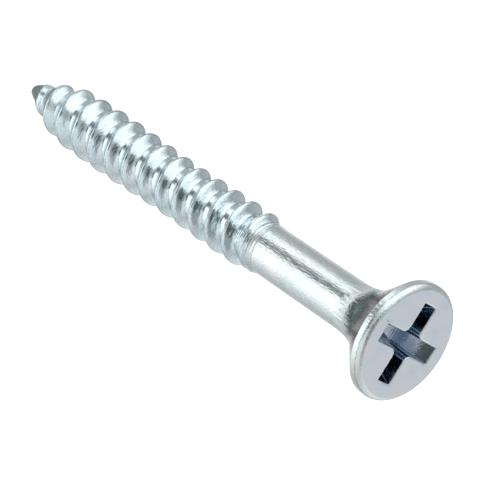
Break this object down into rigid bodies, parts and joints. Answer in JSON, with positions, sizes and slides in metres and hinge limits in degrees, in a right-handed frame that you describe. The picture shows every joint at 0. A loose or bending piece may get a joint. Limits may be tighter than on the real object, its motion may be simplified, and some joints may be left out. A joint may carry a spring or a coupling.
{
  "type": "wood screw",
  "caption": "Countersunk wood screw with a cross recess, a plain upper shank, a coarse right-hand thread and a gimlet point.",
  "frame": {"origin": "centre of the head's flat face, which lies flush with the wood's surface when the screw is driven home", "axes": "+Z along the screw's axis, out of the wood through the recess; the tip is at -Z; X and Y along the two arms of the cross recess"},
  "size_m": [0.0072, 0.0072, 0.0312],
  "materials": {
    "zinc_plated_steel": "bright zinc plating over forged and rolled steel"
  },
  "bodies": {
    "root": {"head": "zinc_plated_steel", "shank": "zinc_plated_steel", "core": "zinc_plated_steel", "thread": "zinc_plated_steel", "gimlet_point": "zinc_plated_steel"}
  },
  "joints": []
}
